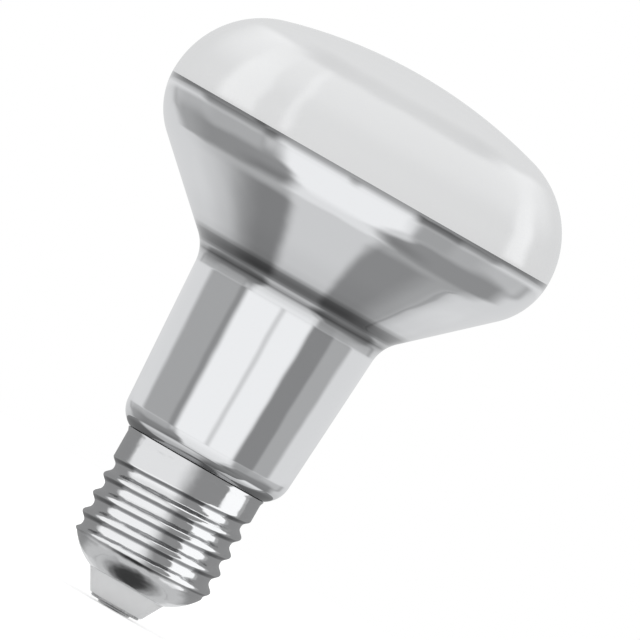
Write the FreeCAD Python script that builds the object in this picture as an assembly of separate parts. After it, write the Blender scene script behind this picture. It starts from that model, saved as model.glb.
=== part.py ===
import FreeCAD, Part
import math
import os

# Reflector bulb with a screw cap, in millimetres
# The axis is Z. The cap is below and the light leaves upwards. z = 0 is the end face of the centre contact.

# Bulb: heights are measured from the plane where the glass leaves the cap
bulb_diameter = 75.0
widest_above_cap = 57.5
face_radius = 89.7  # the shallow middle of the front dome
face_corner_radius = 17.6  # round side above the widest circle
bowl_corner_radius = 13.7  # round side below the widest circle
bowl_angle = 47.3  # straight side of the bowl, from the axis
throat_radius = 7.1  # hollow curve between bowl and neck
neck_taper = 3.6  # side of the neck, from the axis
neck_foot_radius = 16.0  # neck where its lower shoulder begins
neck_foot_above_cap = 4.15
neck_shoulder_radius = 5.0
spigot_radius = 10.6  # end of the neck inside the cap
spigot_depth = 8.2
spigot_edge_radius = 2.0

# Silvered layer, thicker than the real film so that it is a solid
coating_thickness = 0.12
coating_edge_drop = 0.3  # edge of the layer below the widest circle

# Screw shell of rolled sheet
sheet_thickness = 0.25
shell_height = 24.35  # from the lip round the insulator to the rim
thread_crest_radius = 13.225
thread_root_radius = 12.13
thread_pitch = 3.629
thread_crest_sharpness = 1.45  # above 1 the crests are narrower than the grooves
thread_phase = 253.0  # azimuth where a crest meets the mean lower edge of the collar
collar_radius = 13.2
collar_height = 4.95
collar_edge_swing = 0.7  # rise and fall of the collar's lower edge with the thread's run-out
rim_flare = 0.27
rim_flare_height = 0.9
bottom_radius = 11.0  # rounded bottom between lip and thread
bottom_height = 3.82
bottom_blend_height = 0.8  # the thread fades this far above the rounded bottom
fade_length = 1.2  # height over which the thread fades in or out

# Insulator
waist_radius = 7.3  # where it passes through the shell's lip
insulator_foot_radius = 5.07
insulator_foot_edge = 0.4
insulator_height = 3.93  # part that stands out below the shell
flange_radius = 9.4
flange_top_above_lip = 2.7

# Centre contact: a headed pin
contact_height = 0.87
contact_radius = 4.7
contact_step = 0.42  # how far the middle of the head stands out
contact_button_radius = 3.1
contact_edge_radius = 0.25
stem_radius = 1.3
stem_above_flange = 1.0
lead_hole_depth = 5.0

# Cement and lead wires
cement_depth = 3.0
cement_below_rim = 0.7
lead_radius = 0.25
lead_bend_radius = 1.0
centre_lead_offset = 3.0
side_lead_offset = 6.0
side_lead_drop = 1.8
side_lead_azimuth = 90.0
lead_insertion = 4.0  # wire inside the contact's stem
centre_lead_upright = 0.25  # upright share of its drop, at each end
side_lead_turns_out = 0.15  # shares of the cement's depth between which it leans out to the collar
side_lead_turns_up = 0.65

# Fits
seat_gap = 0.02  # between pieces that are pressed or cemented together
lead_clearance = 0.3  # between the side lead and the neck's end

# Fineness of the thread's surface
thread_columns = 24
rows_per_pitch = 10
rows_in_flare = 6
slope_step = 0.001  # height over which the slope of the sheet is taken
pole_passes = 40

# Heights along the axis, worked out from the sizes above
lip_z = contact_height + insulator_height
rim_z = lip_z + shell_height
glass_z = rim_z + seat_gap
widest_z = glass_z + widest_above_cap
neck_foot_z = glass_z + neck_foot_above_cap
spigot_end_z = glass_z - spigot_depth
flange_top_z = lip_z + flange_top_above_lip
stem_top_z = flange_top_z + stem_above_flange
cement_top_z = rim_z - cement_below_rim
cement_end_z = cement_top_z - cement_depth
collar_end_z = rim_z - collar_height
thread_end_z = lip_z + bottom_height + bottom_blend_height
collar_inner_radius = collar_radius - sheet_thickness

AXIS_POINT = FreeCAD.Vector(0, 0, 0)
AXIS = FreeCAD.Vector(0, 0, 1)
SAME_POINT = 1e-7


def at(r, z):
    """A point of a half section, r from the axis."""
    return FreeCAD.Vector(r, 0, z)


def along(angle, length):
    """A step in the half section, at an angle in degrees above the outward direction."""
    return at(length * math.cos(math.radians(angle)), length * math.sin(math.radians(angle)))


def arc(centre, radius, start, end):
    """Arc between two angles about a centre. A negative radius gives the far side, for a hollow curve."""
    middle = (start + end) / 2
    points = [centre + along(angle, radius) for angle in (start, middle, end)]
    return Part.Arc(*points).toShape()


def first_point(step):
    return step if isinstance(step, FreeCAD.Vector) else step.valueAt(step.FirstParameter)


def last_point(step):
    return step if isinstance(step, FreeCAD.Vector) else step.valueAt(step.LastParameter)


def turned(*steps):
    """Solid of revolution of a closed half section, given by points and arcs with straight lines between them."""
    edges = []
    for before, step in zip(steps[-1:] + steps[:-1], steps):
        if last_point(before).distanceToPoint(first_point(step)) > SAME_POINT:
            edges.append(Part.LineSegment(last_point(before), first_point(step)).toShape())
        if not isinstance(step, FreeCAD.Vector):
            edges.append(step)
    return Part.Face(Part.Wire(edges)).revolve(AXIS_POINT, AXIS, 360)


def crossing(normal_a, offset_a, normal_b, offset_b):
    """Point whose distances along two normals are given, in the half section."""
    det = normal_a.x * normal_b.z - normal_a.z * normal_b.x
    r = (offset_a * normal_b.z - offset_b * normal_a.z) / det
    z = (normal_a.x * offset_b - normal_b.x * offset_a) / det
    return at(r, z)


# Bulb outline

bulb_radius = bulb_diameter / 2
face_corner_centre = at(bulb_radius - face_corner_radius, widest_z)
face_rise = math.sqrt((face_radius - face_corner_radius) ** 2 - face_corner_centre.x ** 2)
face_centre = at(0, widest_z - face_rise)
face_corner_angle = math.degrees(math.atan2(face_rise, face_corner_centre.x))
bowl_corner_centre = at(bulb_radius - bowl_corner_radius, widest_z)
bowl_normal = along(-bowl_angle, 1)
neck_normal = along(-neck_taper, 1)
neck_foot = at(neck_foot_radius, neck_foot_z)
throat_centre = crossing(
    bowl_normal,
    bowl_normal.dot(bowl_corner_centre) + bowl_corner_radius + throat_radius,
    neck_normal,
    neck_normal.dot(neck_foot) + throat_radius,
)
shoulder_centre = neck_foot - neck_normal * neck_shoulder_radius
shoulder_end_angle = math.degrees(math.asin((glass_z - shoulder_centre.z) / neck_shoulder_radius))
coating_edge_angle = math.degrees(math.asin(-coating_edge_drop / bowl_corner_radius))


def silvered_outline(inset, upwards=False):
    """Arcs of the silvered part between its edge near the widest circle and the cap, moved inwards."""
    arcs = [
        (bowl_corner_centre, bowl_corner_radius - inset, coating_edge_angle, -bowl_angle),
        (throat_centre, -throat_radius - inset, -bowl_angle, -neck_taper),
        (shoulder_centre, neck_shoulder_radius - inset, -neck_taper, shoulder_end_angle),
    ]
    if upwards:
        arcs = [(centre, radius, end, start) for centre, radius, start, end in reversed(arcs)]
    return [arc(*sizes) for sizes in arcs]


def glass_bulb():
    """Closed glass bulb. Its silvered part is set back by the layer that lies on it."""
    shoulder_foot = shoulder_centre + along(shoulder_end_angle, neck_shoulder_radius - coating_thickness)
    spigot_corner = at(spigot_radius - spigot_edge_radius, spigot_end_z + spigot_edge_radius)
    return turned(
        face_centre + along(90, face_radius),
        arc(face_centre, face_radius, 90, face_corner_angle),
        arc(face_corner_centre, face_corner_radius, face_corner_angle, 0),
        arc(bowl_corner_centre, bowl_corner_radius, 0, coating_edge_angle),
        *silvered_outline(coating_thickness),
        at(spigot_radius, shoulder_foot.z),
        arc(spigot_corner, spigot_edge_radius, 0, -90),
        at(0, spigot_end_z),
    )


def mirror_coating():
    """Silvered layer from just under the widest circle to the cap, flush with the glass above it."""
    return turned(*silvered_outline(0), *silvered_outline(coating_thickness, upwards=True))


# Screw shell

def rounded_bottom_centre():
    """Centre of the rounded bottom's arc, from the lip's edge and the point where the thread's root begins."""
    lip = at(waist_radius + seat_gap, lip_z)
    shoulder = at(thread_root_radius, lip_z + bottom_height)
    half = (shoulder - lip) * 0.5
    reach = math.sqrt(bottom_radius ** 2 - half.Length ** 2)
    inward = at(-half.z, half.x).normalize()
    return lip + half + inward * reach


bottom_centre = rounded_bottom_centre()


def smooth_step(value):
    """0 below -0.5, 1 above 0.5 and a smooth rise between."""
    share = min(max(value + 0.5, 0), 1)
    return share * share * (3 - 2 * share)


def shell_radius(azimuth, z):
    """Outer radius of the sheet, up its rounded bottom, the thread, the plain collar and the flared rim."""
    turn = math.radians(azimuth - thread_phase)
    wave = 0.5 + 0.5 * math.cos(2 * math.pi * (z - collar_end_z) / thread_pitch - turn)
    thread = thread_root_radius + (thread_crest_radius - thread_root_radius) * wave ** thread_crest_sharpness
    bottom = bottom_centre.x + math.sqrt(max(bottom_radius ** 2 - (z - bottom_centre.z) ** 2, 0))
    above_bottom = smooth_step((z - thread_end_z) / fade_length)
    collar_edge = collar_end_z + collar_edge_swing * math.cos(math.radians(azimuth))
    in_collar = smooth_step((z - collar_edge) / fade_length)
    collar = collar_radius + rim_flare * smooth_step((z - rim_z) / rim_flare_height + 0.5)
    return (bottom * (1 - above_bottom) + thread * above_bottom) * (1 - in_collar) + collar * in_collar


def shell_point(azimuth, z, depth):
    """A point of the sheet at a depth below its outer face, measured square to the face."""
    rise = shell_radius(azimuth, z + slope_step) - shell_radius(azimuth, z - slope_step)
    slope = rise / (2 * slope_step)
    r = shell_radius(azimuth, z) - depth / math.hypot(1, slope)
    height = z + depth * slope / math.hypot(1, slope)
    angle = math.radians(azimuth)
    return FreeCAD.Vector(r * math.cos(angle), r * math.sin(angle), height)


def shell_heights(depth):
    """Heights of the surface's rows, closer together in the flare of the rim."""
    radius = bottom_radius - depth
    lip_cosine = (waist_radius + seat_gap - bottom_centre.x) / radius
    start = bottom_centre.z - bottom_radius * math.sqrt(1 - lip_cosine ** 2)
    flare = rim_z - rim_flare_height
    rows = math.ceil((flare - start) / thread_pitch * rows_per_pitch)
    main = [start + (flare - start) * row / rows for row in range(rows)]
    return main + [flare + rim_flare_height * row / rows_in_flare for row in range(rows_in_flare + 1)]


def ring_poles(points):
    """Poles of the closed, evenly spaced cubic curve through points. Each pass halves the error."""
    poles = points
    for _ in range(pole_passes):
        poles = [
            (point * 6 - poles[place - 1] - poles[(place + 1) % len(points)]) / 4
            for place, point in enumerate(points)
        ]
    return poles[-1:] + poles[:-1]


def shell_face(depth):
    """Outer or inner face of the sheet, all the way round, through points of the thread's formula."""
    heights = shell_heights(depth)
    upward = []
    for column in range(thread_columns):
        curve = Part.BSplineCurve()
        points = [shell_point(360 * column / thread_columns, z, depth) for z in heights]
        curve.interpolate(Points=points, Parameters=heights)
        upward.append(curve)
    rings = [ring_poles(list(ring)) for ring in zip(*[curve.getPoles() for curve in upward])]
    surface = Part.BSplineSurface()
    surface.buildFromPolesMultsKnots(
        [list(column) for column in zip(*rings)],
        [1] * (thread_columns + 1),
        upward[0].getMultiplicities(),
        list(range(thread_columns + 1)),
        upward[0].getKnots(),
        True,
        False,
        3,
        3,
    )
    return surface.toShape()


def screw_shell():
    """Thin sheet shell: lip and rounded bottom, rolled thread, plain collar and flared rim."""
    outer = shell_face(0)
    inner = shell_face(sheet_thickness)
    ends = []
    for pick in (min, max):
        rings = [pick([edge for edge in face.Edges if edge.isClosed()], key=lambda edge: edge.CenterOfMass.z)
                 for face in (outer, inner)]
        ends.append(Part.makeRuledSurface(*rings))
    sheet = Part.makeCompound([outer, inner, *ends])
    sheet.sewShape()
    return Part.Solid(sheet.Shells[0])


# Insulator and centre contact

def cap_insulator():
    """Moulded cone with a waist in the shell's lip, a flange inside it and a hole for the contact's stem."""
    hole_radius = stem_radius + seat_gap
    seat_radius = bottom_radius - sheet_thickness - seat_gap
    waist_angle = -math.degrees(math.acos((waist_radius - bottom_centre.x) / seat_radius))
    flange_angle = -math.degrees(math.acos((flange_radius - bottom_centre.x) / seat_radius))
    cone_angle = math.degrees(math.atan2(insulator_height, waist_radius - insulator_foot_radius))
    half_turn = math.radians(180 - cone_angle) / 2
    setback = insulator_foot_edge / math.tan(half_turn)
    foot = at(insulator_foot_radius, contact_height)
    edge_centre = at(insulator_foot_radius - setback, contact_height + insulator_foot_edge)
    return turned(
        at(hole_radius, contact_height),
        arc(edge_centre, insulator_foot_edge, -90, cone_angle - 90),
        foot + along(cone_angle, math.hypot(insulator_height, waist_radius - insulator_foot_radius)),
        arc(bottom_centre, seat_radius, waist_angle, flange_angle),
        at(flange_radius, flange_top_z),
        at(hole_radius, flange_top_z),
    )


def centre_contact():
    """Headed pin: a thin plate with a raised button, and a stem through the insulator that takes the lead."""
    hole_radius = lead_radius + seat_gap
    button_corner = at(contact_button_radius - contact_edge_radius, contact_edge_radius)
    plate_corner = at(contact_radius - contact_edge_radius, contact_step + contact_edge_radius)
    return turned(
        at(0, 0),
        arc(button_corner, contact_edge_radius, -90, 0),
        at(contact_button_radius, contact_step),
        arc(plate_corner, contact_edge_radius, -90, 0),
        at(contact_radius, contact_height),
        at(stem_radius, contact_height),
        at(stem_radius, stem_top_z),
        at(hole_radius, stem_top_z),
        at(hole_radius, stem_top_z - lead_hole_depth),
        at(0, stem_top_z - lead_hole_depth),
    )


# Lead wires and cement

def bent_wire(points, radius, azimuth):
    """Round wire along straight runs joined by arcs, turned to an azimuth."""
    edges = []
    start = points[0]
    for before, corner, after in zip(points, points[1:], points[2:]):
        inward = (before - corner).normalize()
        outward = (after - corner).normalize()
        half_angle = inward.getAngle(outward) / 2
        setback = lead_bend_radius / math.tan(half_angle)
        bisector = (inward + outward).normalize()
        centre = corner + bisector * (lead_bend_radius / math.sin(half_angle))
        enter = corner + inward * setback
        leave = corner + outward * setback
        edges.append(Part.LineSegment(start, enter).toShape())
        edges.append(Part.Arc(enter, centre - bisector * lead_bend_radius, leave).toShape())
        start = leave
    edges.append(Part.LineSegment(start, points[-1]).toShape())
    section = Part.Wire(Part.Circle(points[0], points[1] - points[0], radius).toShape())
    wire = Part.Wire(edges).makePipeShell([section], True, False)
    wire.rotate(AXIS_POINT, AXIS, azimuth)
    return wire


def centre_lead_wire():
    """Wire from the end of the neck into the contact's stem."""
    drop = (spigot_end_z - stem_top_z) * centre_lead_upright
    points = [
        at(-centre_lead_offset, spigot_end_z),
        at(-centre_lead_offset, spigot_end_z - drop),
        at(0, stem_top_z + drop),
        at(0, stem_top_z - lead_insertion),
    ]
    return bent_wire(points, lead_radius, 0)


def side_lead_points(start_z):
    """Route of the side lead: out under the neck, up beside it and out to the collar through the cement."""
    beside_neck = spigot_radius + lead_clearance + lead_radius
    at_collar = collar_inner_radius - lead_radius - seat_gap
    low_z = spigot_end_z - side_lead_drop - lead_radius
    return [
        at(side_lead_offset, start_z),
        at(side_lead_offset, low_z),
        at(beside_neck, low_z),
        at(beside_neck, cement_end_z + cement_depth * side_lead_turns_out),
        at(at_collar, cement_end_z + cement_depth * side_lead_turns_up),
        at(at_collar, cement_top_z),
    ]


def side_lead_wire():
    """Wire from the end of the neck to the inside of the collar, held there by the cement."""
    return bent_wire(side_lead_points(spigot_end_z), lead_radius, side_lead_azimuth)


def basing_cement():
    """Ring of cement between the neck's end and the collar, with the channel of the side lead."""
    inner = Part.makeCylinder(spigot_radius + seat_gap, cement_depth, at(0, cement_end_z), AXIS)
    ring = Part.makeCylinder(collar_inner_radius - seat_gap, cement_depth, at(0, cement_end_z), AXIS).cut(inner)
    channel = bent_wire(side_lead_points(spigot_end_z), lead_radius + seat_gap, side_lead_azimuth)
    return ring.cut(channel)


def write_part():
    os.makedirs("parts", exist_ok=True)
    pieces = {
        "glass_bulb": glass_bulb(),
        "mirror_coating": mirror_coating(),
        "screw_shell": screw_shell(),
        "cap_insulator": cap_insulator(),
        "centre_contact": centre_contact(),
        "basing_cement": basing_cement(),
        "centre_lead_wire": centre_lead_wire(),
        "side_lead_wire": side_lead_wire(),
    }
    for name, shape in pieces.items():
        shape.exportStep(f"parts/{name}.step")
        print(name, "solids", len(shape.Solids), "valid", shape.isValid(), "mm3", round(shape.Volume, 2))


write_part()
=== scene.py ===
import math
from collections import namedtuple

import bpy
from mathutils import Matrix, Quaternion, Vector
from mathutils.noise import noise_vector


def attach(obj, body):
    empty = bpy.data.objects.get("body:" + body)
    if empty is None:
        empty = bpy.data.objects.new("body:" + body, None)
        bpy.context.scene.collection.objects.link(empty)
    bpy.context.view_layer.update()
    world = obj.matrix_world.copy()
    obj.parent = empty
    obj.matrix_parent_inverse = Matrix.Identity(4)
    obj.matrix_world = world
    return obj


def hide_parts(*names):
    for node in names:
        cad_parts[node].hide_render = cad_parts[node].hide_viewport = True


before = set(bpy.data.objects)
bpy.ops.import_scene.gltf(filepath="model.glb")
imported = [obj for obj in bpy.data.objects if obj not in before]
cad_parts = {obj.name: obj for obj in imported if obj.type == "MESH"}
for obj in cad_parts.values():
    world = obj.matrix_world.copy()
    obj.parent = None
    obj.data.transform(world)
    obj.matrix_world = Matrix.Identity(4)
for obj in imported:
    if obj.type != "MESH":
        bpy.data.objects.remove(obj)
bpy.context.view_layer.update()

# Looks of a reflector bulb with a screw cap. Its axis is Z and its cap is below.
# Shapes are given in millimetres, as r and z of a half section, and become metres in the meshes.
MM = 0.001

# Bulb
bulb_radius = 37.5
widest_z = 86.67
top_z = 107.07
face_radius = 89.7
face_corner_radius = 17.6
bowl_corner_radius = 13.7
bowl_angle = 47.3
throat_radius = 7.1
neck_taper = 3.6
neck_foot = (16.0, 33.32)
neck_shoulder_radius = 5.0
glass_z = 29.17
spigot_radius = 10.6
spigot_end_z = 20.97
spigot_edge_radius = 2.0
coating_thickness = 0.12
coating_edge_drop = 0.3

# Screw shell
sheet_thickness = 0.25
lip_z = 4.80
rim_z = 29.15
thread_crest_radius = 13.225
thread_root_radius = 12.13
thread_pitch = 3.629
thread_crest_sharpness = 1.45
thread_phase = 253.0
collar_radius = 13.2
collar_end_z = 24.2
collar_edge_swing = 0.7
rim_flare = 0.27
rim_flare_height = 0.9
bottom_radius = 11.0
bottom_centre = (3.156, 14.981)
lip_radius = 7.32
thread_end_z = 9.42
fade_length = 1.2

# Insulator and contact
insulator_foot_radius = 5.07
insulator_foot_edge = 0.4
waist_radius = 7.3
flange_radius = 9.4
flange_top_z = 7.5
stem_hole_radius = 1.32
contact_height = 0.87
contact_radius = 4.7
contact_step = 0.42
contact_button_radius = 3.1
contact_edge_radius = 0.25
stem_radius = 1.3
stem_top_z = 8.5
insulator_gap = 0.02  # between the insulator's flange and the shell

# Fineness of the meshes
bulb_columns = 256
cap_columns = 192
shell_columns = 256
shell_rows = 150
corner_angle = 32  # sharper corners than this keep a crease


# Outlines

def along(angle, length):
    return (length * math.cos(math.radians(angle)), length * math.sin(math.radians(angle)))


def shifted(point, angle, length):
    step = along(angle, length)
    return (point[0] + step[0], point[1] + step[1])


def arc(centre, radius, start, end, count):
    """Points of an arc in the half section. A negative radius gives the far side, for a hollow curve."""
    return [shifted(centre, start + (end - start) * step / count, radius) for step in range(count + 1)]


def line(start, end, count):
    """Points between two ends, without them."""
    shares = [step / count for step in range(1, count)]
    return [(start[0] + (end[0] - start[0]) * s, start[1] + (end[1] - start[1]) * s) for s in shares]


def dot(a, b):
    return a[0] * b[0] + a[1] * b[1]


face_corner_centre = (bulb_radius - face_corner_radius, widest_z)
face_centre = (0, top_z - face_radius)
face_corner_angle = math.degrees(math.atan2(widest_z - face_centre[1], face_corner_centre[0]))
bowl_corner_centre = (bulb_radius - bowl_corner_radius, widest_z)
coating_edge_angle = math.degrees(math.asin(-coating_edge_drop / bowl_corner_radius))


def throat_centre():
    """Centre of the hollow curve that touches the bowl's side and the neck's side."""
    bowl = along(-bowl_angle, 1)
    neck = along(-neck_taper, 1)
    from_bowl = dot(bowl, bowl_corner_centre) + bowl_corner_radius + throat_radius
    from_neck = dot(neck, neck_foot) + throat_radius
    det = bowl[0] * neck[1] - bowl[1] * neck[0]
    r = (from_bowl * neck[1] - from_neck * bowl[1]) / det
    z = (bowl[0] * from_neck - neck[0] * from_bowl) / det
    return (r, z)


def silvered_outline(inset):
    """The silvered part, from its edge under the widest circle down to the cap, moved inwards."""
    shoulder_centre = shifted(neck_foot, 180 - neck_taper, neck_shoulder_radius)
    shoulder_end = math.degrees(math.asin((glass_z - shoulder_centre[1]) / neck_shoulder_radius))
    bowl = arc(bowl_corner_centre, bowl_corner_radius - inset, coating_edge_angle, -bowl_angle, 40)
    throat = arc(throat_centre(), -throat_radius - inset, -bowl_angle, -neck_taper, 24)
    shoulder = arc(shoulder_centre, neck_shoulder_radius - inset, -neck_taper, shoulder_end, 28)
    return bowl + line(bowl[-1], throat[0], 30) + throat + line(throat[-1], shoulder[0], 40) + shoulder


def bulb_outline():
    """The closed bulb, with its neck's end inside the cap."""
    silvered = silvered_outline(coating_thickness)
    spigot_corner = (spigot_radius - spigot_edge_radius, spigot_end_z + spigot_edge_radius)
    return [
        *arc(face_centre, face_radius, 90, face_corner_angle, 48),
        *arc(face_corner_centre, face_corner_radius, face_corner_angle, 0, 48)[1:],
        *arc(bowl_corner_centre, bowl_corner_radius, 0, coating_edge_angle, 2)[1:],
        *silvered,
        (spigot_radius, silvered[-1][1]),
        *arc(spigot_corner, spigot_edge_radius, 0, -90, 8),
        (0, spigot_end_z),
    ]


def coating_outline():
    return silvered_outline(0) + silvered_outline(coating_thickness)[::-1]


def insulator_outline():
    """The moulded cone below the shell and the flange inside it."""
    seat_radius = bottom_radius - sheet_thickness - insulator_gap
    waist_angle = -math.degrees(math.acos((waist_radius - bottom_centre[0]) / seat_radius))
    flange_angle = -math.degrees(math.acos((flange_radius - bottom_centre[0]) / seat_radius))
    cone_angle = math.degrees(math.atan2(lip_z - contact_height, waist_radius - insulator_foot_radius))
    setback = insulator_foot_edge / math.tan(math.radians(180 - cone_angle) / 2)
    edge_centre = (insulator_foot_radius - setback, contact_height + insulator_foot_edge)
    return [
        (stem_hole_radius, contact_height),
        *arc(edge_centre, insulator_foot_edge, -90, cone_angle - 90, 8),
        (waist_radius, lip_z),
        *arc(bottom_centre, seat_radius, waist_angle, flange_angle, 10),
        (flange_radius, flange_top_z),
        (stem_hole_radius, flange_top_z),
    ]


def contact_outline():
    """Headed pin: a plate with a raised button, and its stem."""
    button_corner = (contact_button_radius - contact_edge_radius, contact_edge_radius)
    plate_corner = (contact_radius - contact_edge_radius, contact_step + contact_edge_radius)
    return [
        (0, 0),
        *arc(button_corner, contact_edge_radius, -90, 0, 6),
        (contact_button_radius, contact_step),
        *arc(plate_corner, contact_edge_radius, -90, 0, 6),
        (contact_radius, contact_height),
        (stem_radius, contact_height),
        (stem_radius, stem_top_z),
        (0, stem_top_z),
    ]


# Meshes

def new_object(name, vertices, faces, smooth=True):
    mesh = bpy.data.meshes.new(name)
    mesh.from_pydata(vertices, [], faces)
    mesh.validate()
    if smooth:
        mesh.shade_smooth()
        mesh.set_sharp_from_angle(angle=math.radians(corner_angle))
    made = bpy.data.objects.new(name, mesh)
    bpy.context.scene.collection.objects.link(made)
    return made


def around(columns):
    return [2 * math.pi * column / columns for column in range(columns)]


def turned(name, outline, columns):
    """Closed mesh of revolution of a closed half section that may start or end on the axis."""
    vertices = []
    rings = []
    for r, z in outline:
        if r < 1e-6:
            rings.append([len(vertices)] * columns)
            vertices.append((0, 0, z * MM))
        else:
            rings.append(list(range(len(vertices), len(vertices) + columns)))
            vertices += [(r * math.cos(a) * MM, r * math.sin(a) * MM, z * MM) for a in around(columns)]
    faces = []
    pairs = list(zip(rings, rings[1:] + rings[:1]))
    for here, there in pairs:
        if here[0] == here[1] and there[0] == there[1]:
            continue
        for column in range(columns):
            after = (column + 1) % columns
            corners = [here[column], there[column], there[after], here[after]]
            faces.append(list(dict.fromkeys(corners)))
    return new_object(name, vertices, faces)


def smooth_step(value):
    """0 below -0.5, 1 above 0.5 and a smooth rise between."""
    share = min(max(value + 0.5, 0), 1)
    return share * share * (3 - 2 * share)


def shell_radius(angle, z):
    """Outer radius of the sheet, up its rounded bottom, the thread, the plain collar and the flared rim."""
    turn = angle - math.radians(thread_phase)
    wave = 0.5 + 0.5 * math.cos(2 * math.pi * (z - collar_end_z) / thread_pitch - turn)
    thread = thread_root_radius + (thread_crest_radius - thread_root_radius) * wave ** thread_crest_sharpness
    bottom = bottom_centre[0] + math.sqrt(max(bottom_radius ** 2 - (z - bottom_centre[1]) ** 2, 0))
    above_bottom = smooth_step((z - thread_end_z) / fade_length)
    collar_edge = collar_end_z + collar_edge_swing * math.cos(angle)
    in_collar = smooth_step((z - collar_edge) / fade_length)
    collar = collar_radius + rim_flare * smooth_step((z - rim_z) / rim_flare_height + 0.5)
    return (bottom * (1 - above_bottom) + thread * above_bottom) * (1 - in_collar) + collar * in_collar


def shell_point(angle, z, depth):
    """A point of the sheet at a depth below its outer face, measured square to the face."""
    step = 0.001
    slope = (shell_radius(angle, z + step) - shell_radius(angle, z - step)) / (2 * step)
    r = shell_radius(angle, z) - depth / math.hypot(1, slope)
    height = z + depth * slope / math.hypot(1, slope)
    return (r * math.cos(angle) * MM, r * math.sin(angle) * MM, height * MM)


def shell_bottom(depth):
    """Lowest height of the sheet's outer or inner face, at the lip."""
    cosine = (lip_radius - bottom_centre[0]) / (bottom_radius - depth)
    return bottom_centre[1] - bottom_radius * math.sqrt(1 - cosine ** 2)


def screw_shell():
    """Thin sheet shell as one closed mesh: outer face upwards, then inner face downwards."""
    vertices = []
    for depth, order in ((0, 1), (sheet_thickness, -1)):
        start = shell_bottom(depth)
        heights = [start + (rim_z - start) * row / shell_rows for row in range(shell_rows + 1)]
        for z in heights[::order]:
            vertices += [shell_point(angle, z, depth) for angle in around(shell_columns)]
    rings = 2 * (shell_rows + 1)
    faces = []
    for ring in range(rings):
        here = ring * shell_columns
        there = (ring + 1) % rings * shell_columns
        for column in range(shell_columns):
            after = (column + 1) % shell_columns
            faces.append((here + column, here + after, there + after, there + column))
    return new_object("rolled_screw_shell", vertices, faces)


# Materials

# Painted shade: heights at which the silvering's colour is darkened to stand in for dark reflections and
# shade
painted_shade_at_foot = [(0, 0.25), (1.0, 0.4), (1.8, 0.75), (2.6, 0.88), (4.0, 1.0)]  # millimetres up, and share of the mirror's colour left by the painted shade
painted_shade_in_bend = [
    (0.2, 1.0), (1.2, 0.93), (2.0, 0.82), (2.8, 0.6), (3.2, 0.26), (3.6, 0.48), (4.0, 0.64), (4.4, 0.34),
    (4.8, 0.2), (5.3, 0.18), (6.0, 0.24), (6.5, 0.55), (7.1, 0.86), (8.5, 0.93), (13.0, 1.0),
]
painted_shade_at_edge = [(-1.6, 1.0), (-1.05, 0.72), (-0.7, 0.48), (-0.35, 0.42), (0, 0.32)]
painted_light_fade = 7.0  # how far above the mirror's edge the painted light on the front reaches
shade_free_bottom_fade = (-0.9, 0.6)  # the cap's bottom, kept free of painted shade, ends here, seen from the thread's end
painted_shade_slopes = (-0.76, -0.52)  # z of the normals between which the thread's undersides turn dark with painted shade
dent_share = 110.0  # the shell's shallow dents are this much deeper than its rolling marks


def new_material(name, colour, roughness, metallic=0.0):
    """Material of plain values, which count where nothing is joined to them."""
    material = bpy.data.materials.new(name)
    material.use_nodes = True
    shader = material.node_tree.nodes["Principled BSDF"]
    shader.inputs["Base Color"].default_value = (*colour, 1)
    shader.inputs["Roughness"].default_value = roughness
    shader.inputs["Metallic"].default_value = metallic
    return material, shader


def add(material, kind, **values):
    """A node with its properties and the values of its sockets, whose names start with a capital."""
    node = material.node_tree.nodes.new(kind)
    for name, value in values.items():
        if name[0].isupper():
            node.inputs[name.replace("_", " ")].default_value = value
        else:
            setattr(node, name, value)
    return node


def join(material, source, target):
    material.node_tree.links.new(source, target)


def noise(material, scale, detail=3.0, stretch=(1, 1, 1)):
    """Noise through the solid, its scale given as patches per millimetre."""
    centre = add(material, "ShaderNodeTexCoord")
    mapping = add(material, "ShaderNodeMapping", Scale=[scale / MM * share for share in stretch])
    texture = add(material, "ShaderNodeTexNoise", Scale=1.0, Detail=detail)
    join(material, centre.outputs["Object"], mapping.inputs["Vector"])
    join(material, mapping.outputs["Vector"], texture.inputs["Vector"])
    return texture.outputs["Fac"]


def spread(material, source, low, high, start=0.3, end=0.7):
    """Maps a value between start and end smoothly onto low to high."""
    node = add(material, "ShaderNodeMapRange", From_Min=start, From_Max=end, To_Min=low, To_Max=high)
    node.interpolation_type = "SMOOTHSTEP"
    join(material, source, node.inputs["Value"])
    return node.outputs["Result"]


def shade(material, shader, factor, dark, light):
    """Colour between two tones, by a factor."""
    mix = add(material, "ShaderNodeMix", data_type="RGBA")
    mix.inputs["A"].default_value = (*dark, 1)
    mix.inputs["B"].default_value = (*light, 1)
    join(material, factor, mix.inputs["Factor"])
    join(material, mix.outputs["Result"], shader.inputs["Base Color"])


def roughen(material, shader, source, low, high):
    """Roughness between two values, by a factor."""
    join(material, spread(material, source, low, high), shader.inputs["Roughness"])


def relief(material, shader, source, depth):
    """Fine relief of the surface, its depth in millimetres."""
    bump = add(material, "ShaderNodeBump", Strength=1.0, Distance=depth * MM)
    join(material, source, bump.inputs["Height"])
    join(material, bump.outputs["Normal"], shader.inputs["Normal"])


def by_height(material, stops):
    """A value that follows heights on the axis, from (millimetres, value) pairs in rising order."""
    low = stops[0][0]
    high = stops[-1][0]
    centre = add(material, "ShaderNodeTexCoord")
    parts = add(material, "ShaderNodeSeparateXYZ")
    share = add(material, "ShaderNodeMapRange", From_Min=low * MM, From_Max=high * MM)
    ramp = add(material, "ShaderNodeValToRGB")
    join(material, centre.outputs["Object"], parts.inputs["Vector"])
    join(material, parts.outputs["Z"], share.inputs["Value"])
    join(material, share.outputs["Result"], ramp.inputs["Fac"])
    ramp.color_ramp.interpolation = "EASE"
    elements = ramp.color_ramp.elements
    elements.remove(elements[1])
    elements[0].position = 0
    for number, (height, value) in enumerate(stops):
        element = elements[0] if number == 0 else elements.new((height - low) / (high - low))
        element.color = (value, value, value, 1)
    return ramp.outputs["Color"]


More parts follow.
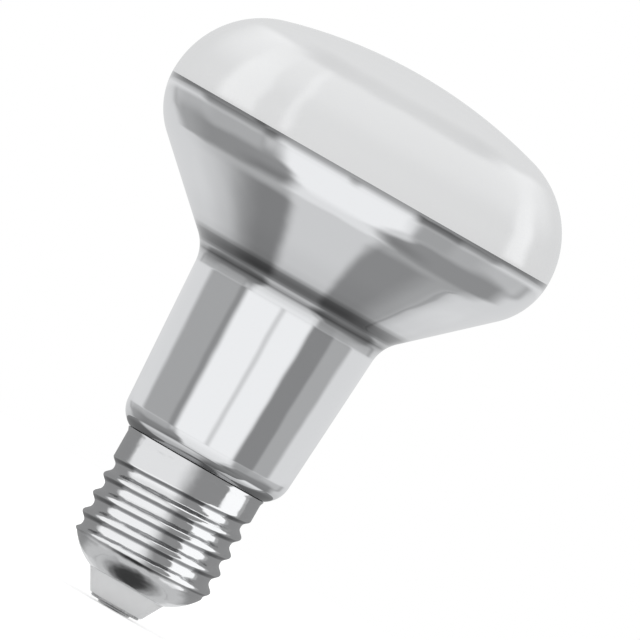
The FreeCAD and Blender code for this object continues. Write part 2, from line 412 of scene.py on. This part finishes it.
def milky_glass():
    """Milky front, its colour lighter towards the edge of the mirror as painted light."""
    material, shader = new_material("milky_glass", (0.79, 0.795, 0.80), 0.1)
    # Painted light: the front's colour is lighter towards the edge of the mirror
    painted_light_share = by_height(material, [(widest_z, 1.0), (widest_z + painted_light_fade, 0.25), (top_z, 0.0)])
    shade(material, shader, painted_light_share, dark=(0.775, 0.781, 0.787), light=(0.825, 0.83, 0.835))
    roughen(material, shader, noise(material, 0.5), 0.08, 0.12)
    relief(material, shader, noise(material, 0.8, 2.0), depth=0.0015)
    return material


def silvering():
    """Mirror layer. Its colour is darkened as painted shade, standing in for dark reflections, at the foot of
    the neck, in the bend above the neck and along its upper edge."""
    material, shader = new_material("silvering", (0.86, 0.865, 0.875), 0.05, 1.0)
    lists = (
        (glass_z, painted_shade_at_foot),
        (throat_centre()[1], painted_shade_in_bend),
        (widest_z - coating_edge_drop, painted_shade_at_edge),
    )
    # Painted shade: the mirror's colour is darker at the neck's foot, in the bend above the neck and along
    # its edge
    mirror_painted_shade = by_height(material, [(start + up, share) for start, stops in lists for up, share in stops])
    shade(material, shader, mirror_painted_shade, dark=(0.02, 0.02, 0.021), light=(0.865, 0.87, 0.88))
    roughen(material, shader, noise(material, 0.3), 0.04, 0.06)
    relief(material, shader, noise(material, 0.1, 1.5), depth=0.12)
    return material


def cap_metal():
    """Rolled sheet with shallow dents. Its thread's undersides are darkened as painted shade, but its rounded
    bottom isn't.
    """
    material, shader = new_material("cap_metal", (0.8, 0.8, 0.81), 0.16, 1.0)
    # Painted shade: colour darkened where the normal points down, on the thread's undersides, leaving the
    # rounded bottom out
    facing = add(material, "ShaderNodeNewGeometry")
    parts = add(material, "ShaderNodeSeparateXYZ")
    join(material, facing.outputs["Normal"], parts.inputs["Vector"])
    bottom_end, thread_start = (thread_end_z + up for up in shade_free_bottom_fade)
    shade_free_bottom = by_height(material, [(bottom_end, 1.0), (thread_start, 0.0)])
    outside_painted_shade = add(material, "ShaderNodeMath", operation="ADD", use_clamp=True)
    join(material, spread(material, parts.outputs["Z"], 0, 1, *painted_shade_slopes), outside_painted_shade.inputs[0])
    join(material, shade_free_bottom, outside_painted_shade.inputs[1])
    shade(material, shader, outside_painted_shade.outputs["Value"], dark=(0.2, 0.202, 0.206), light=(0.80, 0.802, 0.808))

    rolling = noise(material, 1.2, 4.0, (0.25, 0.25, 2.0))
    dents = add(material, "ShaderNodeMath", operation="MULTIPLY_ADD")
    join(material, noise(material, 0.22, 2.0, (1, 1, 1.6)), dents.inputs[0])
    dents.inputs[1].default_value = dent_share
    join(material, rolling, dents.inputs[2])
    roughen(material, shader, rolling, 0.1, 0.17)
    relief(material, shader, dents.outputs["Value"], depth=0.002)
    return material


def insulator_material():
    material, shader = new_material("insulator", (0.88, 0.885, 0.89), 0.2)
    clouds = spread(material, noise(material, 0.4), 0, 1)
    grain = noise(material, 0.8)
    shade(material, shader, clouds, dark=(0.915, 0.92, 0.925), light=(0.93, 0.935, 0.94))
    roughen(material, shader, grain, 0.15, 0.22)
    relief(material, shader, noise(material, 0.8, 2.0), depth=0.004)
    return material


def contact_metal():
    material, shader = new_material("contact_metal", (0.55, 0.55, 0.55), 0.3, 1.0)
    grain = noise(material, 2.0, 4.0)
    shade(material, shader, spread(material, grain, 0, 1), dark=(0.45, 0.45, 0.455), light=(0.6, 0.6, 0.6))
    roughen(material, shader, grain, 0.25, 0.4)
    relief(material, shader, grain, depth=0.004)
    return material


def cement_material():
    material, shader = new_material("cement", (0.6, 0.55, 0.47), 0.9)
    grit = noise(material, 2.5, 5.0)
    shade(material, shader, spread(material, grit, 0, 1), dark=(0.5, 0.45, 0.38), light=(0.68, 0.63, 0.55))
    relief(material, shader, grit, depth=0.05)
    return material


def wire_material():
    material, shader = new_material("lead_wire", (0.7, 0.62, 0.55), 0.3, 1.0)
    grain = noise(material, 4.0)
    shade(material, shader, spread(material, grain, 0, 1), dark=(0.62, 0.55, 0.48), light=(0.76, 0.7, 0.64))
    relief(material, shader, grain, depth=0.003)
    return material


# Pieces of the bulb

def stand_in(piece, node, material):
    """The piece stands for a node of the frame, which it hides, and takes the given material."""
    piece.data.materials.append(material)
    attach(piece, "root")
    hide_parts(node)


def dress_pieces():
    bulb = turned("milky_bulb", bulb_outline(), bulb_columns)
    bowl = turned("silvered_bowl", coating_outline(), bulb_columns)
    shell = screw_shell()
    insulator = turned("moulded_insulator", insulator_outline(), cap_columns)
    contact = turned("contact_pin", contact_outline(), cap_columns)
    stand_in(bulb, "glass_bulb", milky_glass())
    stand_in(bowl, "mirror_coating", silvering())
    stand_in(shell, "screw_shell", cap_metal())
    stand_in(insulator, "cap_insulator", insulator_material())
    stand_in(contact, "centre_contact", contact_metal())
    hidden = {
        "basing_cement": cement_material(),
        "centre_lead_wire": wire_material(),
        "side_lead_wire": wire_material(),
    }
    for name, material in hidden.items():
        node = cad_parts[name]
        for used in node.material_slots:
            used.material = material


# Studio

# The eye
eye_distance = 4.0  # metres
eye_height = 86.4  # level with the edge of the mirror
picture_width = 111.1  # at the bulb's axis
picture_centre = (6.2, 61.5)  # x and z in the middle of the picture
lean = 29.8  # the bulb leans this far to the right in the picture
sensor_width = 36.0

# Light and floor
ambient = 0.87
floor_half = 1.2  # metres
floor_depth = 0.0001  # metres below the contact
floor_glow = 0.45

# Distant card all round the bulb
sky_distance = 1.5  # metres
sky_height = 60.0
sky_level = 0.72
sky_steps = (1, 0.5)  # degrees
wavering_scale = 0.09  # waves per degree
wavering_size = 1.4  # degrees
neck_elevations = (-9.5, -2.2)  # elevations of the normals on the neck, with some spare
calm_height = 3  # degrees above and below the neck's upper elevation in which nothing wavers
calm_fade = 8

# Small cards close to the cap, in millimetres
cap_wall_radius = 16.5
cap_wall_heights = (-8.0, 29.1)
cap_wall_steps = (0.75, 1)  # degrees and millimetres
cap_roof_hole = 13.4
cap_floor_hole = 0.01
cap_floor_radius = 23.1
cap_floor_ahead = 5.5
cap_ring_steps = (5, 1)  # degrees and millimetres
cap_wall_level = 0.30
cap_roof_level = 0.35
cap_floor_level = 0.62

# A card shows only in surfaces within its reach, in millimetres
sky_reach = 10000
cap_wall_reach = 24
cap_roof_reach = 40
cap_floor_reach = 45

hard = 0.1  # fade of a patch with no soft edge


def plain_material(name):
    material = bpy.data.materials.new(name)
    material.use_nodes = True
    material.node_tree.nodes.clear()
    return material, add(material, "ShaderNodeOutputMaterial")


def card_material(name, reach):
    """Light to the inner side, its level given by the mesh, for what is within reach."""
    material, output = plain_material(name)
    level = add(material, "ShaderNodeAttribute", attribute_name="level")
    glow = add(material, "ShaderNodeEmission", Color=(0.985, 0.992, 1.0, 1))
    clear = add(material, "ShaderNodeBsdfTransparent")
    side = add(material, "ShaderNodeNewGeometry")
    path = add(material, "ShaderNodeLightPath")
    near = add(material, "ShaderNodeMath", operation="LESS_THAN")
    shown = add(material, "ShaderNodeMath", operation="SUBTRACT", use_clamp=True)
    mix = add(material, "ShaderNodeMixShader")
    near.inputs[1].default_value = reach * MM
    join(material, level.outputs["Fac"], glow.inputs["Strength"])
    join(material, path.outputs["Ray Length"], near.inputs[0])
    join(material, near.outputs["Value"], shown.inputs[0])
    join(material, side.outputs["Backfacing"], shown.inputs[1])
    join(material, shown.outputs["Value"], mix.inputs["Fac"])
    join(material, clear.outputs["BSDF"], mix.inputs[1])
    join(material, glow.outputs["Emission"], mix.inputs[2])
    join(material, mix.outputs["Shader"], output.inputs["Surface"])
    return material


def only_reflected(made):
    made.visible_camera = False
    made.visible_diffuse = False
    made.visible_transmission = False
    made.visible_shadow = False
    made.visible_volume_scatter = False


Patch = namedtuple("Patch", "level spans sides ends")


def patch(level, spans, sides, ends):
    """A patch of another brightness on a card. spans gives its left and right at rising places up, sides its
    fades at left and right, and ends its fades at its lower and upper end."""
    return Patch(level, spans, sides, ends)


def edge(distance, fade):
    """0 outside an edge, 1 once inside it by its fade."""
    return smooth_step(distance / fade - 0.5)


def cover(part, across, up):
    """How much of a patch shows at a place, its sides eased from one span to the next."""
    if not part.spans[0][0] < up < part.spans[-1][0]:
        return 0
    left, right = part.spans[-1][1:]
    for low, high in zip(part.spans, part.spans[1:]):
        if low[0] <= up <= high[0]:
            share = smooth_step((up - low[0]) / (high[0] - low[0]) - 0.5)
            left = low[1] + (high[1] - low[1]) * share
            right = low[2] + (high[2] - low[2]) * share
    sides = edge(across - left, part.sides[0]) * edge(right - across, part.sides[1])
    return sides * edge(up - part.spans[0][0], part.ends[0]) * edge(part.spans[-1][0] - up, part.ends[1])


def painted(base, patches, across, up):
    """Brightness of a card at a place. A later patch covers an earlier one."""
    level = base
    for part in patches:
        level += (part.level - level) * cover(part, across, up)
    return level


def card(name, across, up, steps, point, level, reach):
    """Card over a span across and a span up. point gives its shape in metres and level its brightness."""
    columns = math.ceil((across[1] - across[0]) / steps[0])
    rows = math.ceil((up[1] - up[0]) / steps[1])
    vertices = []
    levels = []
    for row in range(rows + 1):
        height = up[0] + (up[1] - up[0]) * row / rows
        for column in range(columns + 1):
            side = across[0] + (across[1] - across[0]) * column / columns
            vertices.append(point(side, height))
            levels.append(level(side, height))
    faces = []
    for row in range(rows):
        for column in range(columns):
            corner = row * (columns + 1) + column
            faces.append((corner, corner + columns + 1, corner + columns + 2, corner + 1))
    made = new_object(name, vertices, faces, False)
    made.data.attributes.new("level", "FLOAT", "POINT").data.foreach_set("value", levels)
    made.data.materials.append(card_material(name, reach))
    only_reflected(made)
    return made


def mirrored(azimuth, elevation):
    """The direction that a mirror shows to the camera, from the azimuth and elevation of the mirror's normal.
    Azimuth 0 faces the camera and 90 is to its right."""
    a = math.radians(azimuth)
    e = math.radians(elevation)
    normal = Vector((math.cos(e) * math.sin(a), -math.cos(e) * math.cos(a), math.sin(e)))
    to_camera = Vector((0, -1, 0))
    return 2 * normal.dot(to_camera) * normal - to_camera


def wavering(azimuth, elevation):
    """Shifts a place on the sky a little, so that no edge there runs quite straight."""
    spot = Vector((azimuth, elevation, 0)) * wavering_scale
    shift = noise_vector(spot)
    away = edge(abs(elevation - neck_elevations[1]) - calm_height, calm_fade)
    return azimuth + wavering_size * shift.x * away, elevation + wavering_size * shift.y * away


def sky():
    """Studio round the bulb, placed by the normals that show it. What the silvering shows is below and what
    the milky front shows is above."""
    bowl = [
        # Grey screens that the bowl's rounded edge shows, with a darker stripe at each side
        patch(0.50, [(-24, -76, -20), (2, -84, -20)], (20, 5), (6, 2)),
        patch(0.58, [(-20, -54, -20), (2, -54, -20)], (6, 5), (4, 2)),
        patch(0.42, [(-26, -68, -58), (-16, -74, -66), (0, -76, -70)], (6, 5), (8, 5)),
        patch(0.55, [(-24, 18, 76), (2, 18, 84)], (5, 20), (6, 2)),
        patch(0.78, [(-20, 14, 50), (2, 14, 46)], (5, 26), (4, 2)),
        patch(0.44, [(-26, 56, 68), (-16, 62, 73), (0, 64, 75)], (6, 6), (8, 5)),
        patch(0.34, [(-26, -31, -25), (-14, -32, -26), (2, -35, -28)], (3, 3), (9, 2)),
        # Pale walls at both sides of the cone
        patch(0.82, [(-75, -92, -44), (-45, -92, -50)], (hard, 14), (3, 4)),
        patch(0.82, [(-75, 48, 92), (-45, 50, 92)], (6, hard), (3, 4)),
        # Dark screens beside the middle of the cone, in steps
        patch(0.45, [(-75, -52, -9), (-47, -60, -9), (-37, -64, -9), (-31, -64, -9)], (34, 7), (3, 4)),
        patch(0.40, [(-75, 9, 49), (-47, 9, 52), (-37, 9, 58), (-31, 9, 60)], (5, 12), (3, 4)),
        patch(0.40, [(-38, -52, -12), (-31, -68, -12), (-21, -72, -12), (-10, -74, -12)], (10, 5), (5, 9)),
        patch(0.30, [(-37, -50, -12), (-31, -60, -12), (-21, -62, -12), (-14, -60, -12)], (14, 5), (5, 8)),
        patch(0.23, [(-34, -38, -12), (-23, -38, -12)], (12, 5), (4, 7)),
        patch(0.30, [(-39, 8, 54), (-31, 8, 67), (-21, 18, 67), (-13, 26, 58)], (6, 12), (5, 9)),
        patch(0.24, [(-35, 8, 34), (-24, 8, 32)], (5, 14), (4, 6)),
        patch(0.24, [(-75, -40, -10), (-47, -44, -10), (-38, -46, -10)], (20, 8), (3, 8)),
        patch(0.28, [(-75, 9, 38), (-47, 9, 40), (-38, 9, 40)], (7, 12), (3, 8)),
        patch(0.30, [(-60, 44, 48), (-48, 43, 46), (-40, 46, 50)], (2, 2), (8, 6)),
        # The middle of the cone
        patch(0.68, [(-75, -17, 16), (-47, -17, 16), (-36, -18, 17)], (7, 6), (3, 2)),
        patch(0.84, [(-38.5, -22, 22), (-32, -20, 18), (-28, -19, 17), (-22, -22, 22)], (8, 9), (4, 8)),
        # What both ends of the neck show beside their middle
        patch(0.46, [(-22, -57, -26), (-6, -57, -26)], (12, 4), (6, 3)),
        patch(0.46, [(-22, 17, 51), (-6, 19, 51)], (4, 12), (6, 3)),
        patch(0.40, [(-22, 17, 35), (-6, 19, 35)], (4, 5), (6, 3)),
        # Soft box in front
        patch(0.97, [(-32, -12, 5), (-24, -19, 15), (-17, -24, 20), (2, -26, 21)], (6, 5), (7, 2)),
    ]
    dome = [
        # Soft light overhead, round a gap above the camera
        patch(0.95, [(0, -72, 72), (56, -72, 72)], (26, 26), (12, 6)),
        patch(1.75, [(15, -72, 72), (56, -72, 72)], (26, 26), (16, 6)),
        patch(0.0, [(45, -44, 46), (68, -44, 46)], (16, 16), (6, 14)),
        # Lamps at both sides
        patch(3.2, [(0, -52, -34), (50, -48, -34)], (5, 2.5), (3, 28)),
        patch(3.2, [(0, -27, -22), (52, -27, -22)], (2, 2), (3, 16)),
        patch(3.1, [(0, 46.5, 60), (50, 46.5, 58)], (3, 5), (3, 34)),
    ]

    low, high = neck_elevations
    soft = (4, 0.8)
    neck = [
        patch(0.77, [(low, -92, 92), (high, -92, 92)], (hard, hard), soft),
        patch(0.42, [(low, -52, -20), (-5, -57, -20), (high, -57, -20)], (6, 3), soft),
        patch(0.44, [(low, 17, 47), (-5, 17, 51.5), (high, 17, 51.5)], (3, 5), soft),
        patch(0.27, [(low, 17, 35.5), (high, 17, 35.5)], (3, 3), soft),
        patch(0.30, [(low, -30.5, -21), (high, -30.5, -21)], (3, 2), soft),
        patch(0.98, [(low, -26.5, 20.5), (high, -26.5, 20.5)], (4.5, 4.5), soft),
        patch(0.70, [(low, -3.2, 2.4), (high, -3.2, 2.4)], (2.6, 2.6), soft),
    ]
    patches = bowl + dome + neck

    def level(azimuth, elevation):
        return painted(sky_level, patches, *wavering(azimuth, elevation))

    def point(azimuth, elevation):
        return Vector((0, 0, sky_height * MM)) + mirrored(azimuth, elevation) * sky_distance

    card("sky", (-90, 90), (-90, 90), sky_steps, point, level, sky_reach)


def round_shape(surface_radius, card_radius):
    """Shape of a round card, across by the azimuth of the round surface that shows it and up by height."""

    def point(azimuth, height):
        sine = surface_radius * math.sin(math.radians(azimuth)) / card_radius
        a = math.radians(2 * azimuth - math.degrees(math.asin(sine)))
        return (card_radius * math.sin(a) * MM, -card_radius * math.cos(a) * MM, height * MM)

    return point


def flat_shape(height, ahead=0):
    """Shape of a flat card, across by azimuth and up by radius, its centre moved ahead of the bulb's axis."""

    def point(azimuth, radius):
        a = math.radians(azimuth)
        return (radius * math.sin(a) * MM, -(ahead + radius * math.cos(a)) * MM, height * MM)

    return point


def cap_studio():
    """What the cap shows: a pale card on its left, a dark one in front and a bright box on its right."""
    low, high = cap_wall_heights
    walls = [
        patch(0.93, [(low, -56, 10), (high, -56, 10)], (8, 19), (hard, hard)),
        patch(1.08, [(4, -56, 8), (23, -56, 8)], (8, 19), (4, 2)),
        patch(1.2, [(low, 25, 58), (22, 25, 58), (25, 32.5, 57), (high, 32.5, 57)], (2, 1.5), (hard, hard)),
        patch(0.45, [(low, 52, 58), (high, 52, 58)], (1, 1), (hard, hard)),
        patch(0.62, [(low, -91, 91), (4, -91, 91)], (hard, hard), (hard, 6)),
    ]
    overhead = [
        patch(0.7, [(-140, 12, 17), (-10, 12, 17)], (hard, hard), (20, 10)),
        patch(1.25, [(-15, 12, 17), (75, 12, 17)], (hard, hard), (15, 15)),
    ]
    under = [patch(0.05, [(-181, -1, 15.5), (181, -1, 15.5)], (hard, 11), (hard, hard))]

    def wall_level(azimuth, height):
        return painted(cap_wall_level, walls, azimuth, height)

    def roof_level(azimuth, radius):
        return painted(cap_roof_level, overhead, radius, azimuth)

    def floor_level(azimuth, radius):
        return painted(cap_floor_level, under, radius, azimuth)

    roof_span = (cap_roof_hole, cap_wall_radius)
    floor_span = (cap_floor_hole, cap_floor_radius)
    wall_shape = round_shape(collar_radius, cap_wall_radius)
    card("cap_card", (-90, 90), (low, high), cap_wall_steps, wall_shape, wall_level, cap_wall_reach)
    roof_shape = flat_shape(high)
    floor_shape = flat_shape(low, cap_floor_ahead)
    roof = card("cap_roof", (-180, 180), roof_span, cap_ring_steps, roof_shape, roof_level, cap_roof_reach)
    roof.data.flip_normals()
    card("cap_floor", (-180, 180), floor_span, cap_ring_steps, floor_shape, floor_level, cap_floor_reach)


def world_light():
    """White for what looks at the background, and a plain level for what lights the bulb."""
    world = bpy.data.worlds.new("studio")
    bpy.context.scene.world = world
    world.use_nodes = True
    seen = add(world, "ShaderNodeLightPath")
    most = seen.outputs["Is Camera Ray"]
    for kind in ("Is Glossy Ray", "Is Transmission Ray"):
        either = add(world, "ShaderNodeMath", operation="MAXIMUM")
        join(world, most, either.inputs[0])
        join(world, seen.outputs[kind], either.inputs[1])
        most = either.outputs["Value"]
    strength = add(world, "ShaderNodeMapRange", To_Min=ambient, To_Max=1.0)
    join(world, most, strength.inputs["Value"])
    background = world.node_tree.nodes["Background"]
    background.inputs["Color"].default_value = (1, 1, 1, 1)
    join(world, strength.outputs["Result"], background.inputs["Strength"])


def floor():
    """White to the eye, with the bulb's soft shadow on it, and clear from below."""
    material, output = plain_material("studio_floor")
    path = add(material, "ShaderNodeLightPath")
    matt = add(material, "ShaderNodeBsdfDiffuse", Color=(0.8, 0.8, 0.8, 1))
    glow = add(material, "ShaderNodeEmission", Color=(1, 1, 1, 1))
    strength = add(material, "ShaderNodeMath", operation="MULTIPLY")
    both = add(material, "ShaderNodeAddShader")
    strength.inputs[1].default_value = floor_glow
    join(material, path.outputs["Is Camera Ray"], strength.inputs[0])
    join(material, strength.outputs["Value"], glow.inputs["Strength"])
    join(material, matt.outputs["BSDF"], both.inputs[0])
    join(material, glow.outputs["Emission"], both.inputs[1])
    side = add(material, "ShaderNodeNewGeometry")
    clear = add(material, "ShaderNodeBsdfTransparent")
    mix = add(material, "ShaderNodeMixShader")
    join(material, side.outputs["Backfacing"], mix.inputs["Fac"])
    join(material, both.outputs["Shader"], mix.inputs[1])
    join(material, clear.outputs["BSDF"], mix.inputs[2])
    join(material, mix.outputs["Shader"], output.inputs["Surface"])
    signs = ((-1, -1), (1, -1), (1, 1), (-1, 1))
    corners = [(x * floor_half, y * floor_half, -floor_depth) for x, y in signs]
    made = new_object("studio_floor", corners, [(0, 1, 2, 3)])
    made.data.materials.append(material)
    made.visible_glossy = False


def soft_lamp(name, location, size, power):
    """Round lamp that looks at the bulb. Its location and size are in metres."""
    lamp = bpy.data.lights.new(name, "AREA")
    lamp.shape = "DISK"
    lamp.size = size
    lamp.energy = power
    made = bpy.data.objects.new(name, lamp)
    made.location = location
    made.rotation_mode = "QUATERNION"
    target = Vector((0, 0, sky_height * MM))
    made.rotation_quaternion = (target - made.location).to_track_quat("-Z", "Y")
    made.visible_camera = False
    made.visible_glossy = False
    bpy.context.scene.collection.objects.link(made)


def camera():
    data = bpy.data.cameras.new("camera")
    data.sensor_width = sensor_width
    data.lens = sensor_width * eye_distance / (picture_width * MM)
    data.clip_start = 0.01
    data.clip_end = 20.0
    made = bpy.data.objects.new("camera", data)
    made.location = (picture_centre[0] * MM, -eye_distance, eye_height * MM)
    target = Vector((picture_centre[0] * MM, 0, picture_centre[1] * MM))
    straight = (target - made.location).to_track_quat("-Z", "Y")
    made.rotation_mode = "QUATERNION"
    made.rotation_quaternion = straight @ Quaternion((0, 0, 1), math.radians(lean))
    bpy.context.scene.collection.objects.link(made)
    bpy.context.scene.camera = made


dress_pieces()
sky()
cap_studio()
world_light()
floor()
soft_lamp("key_lamp", location=(-0.2, -0.6, 1.0), size=0.8, power=0.9)
camera()
bpy.context.scene.view_settings.view_transform = "Standard"
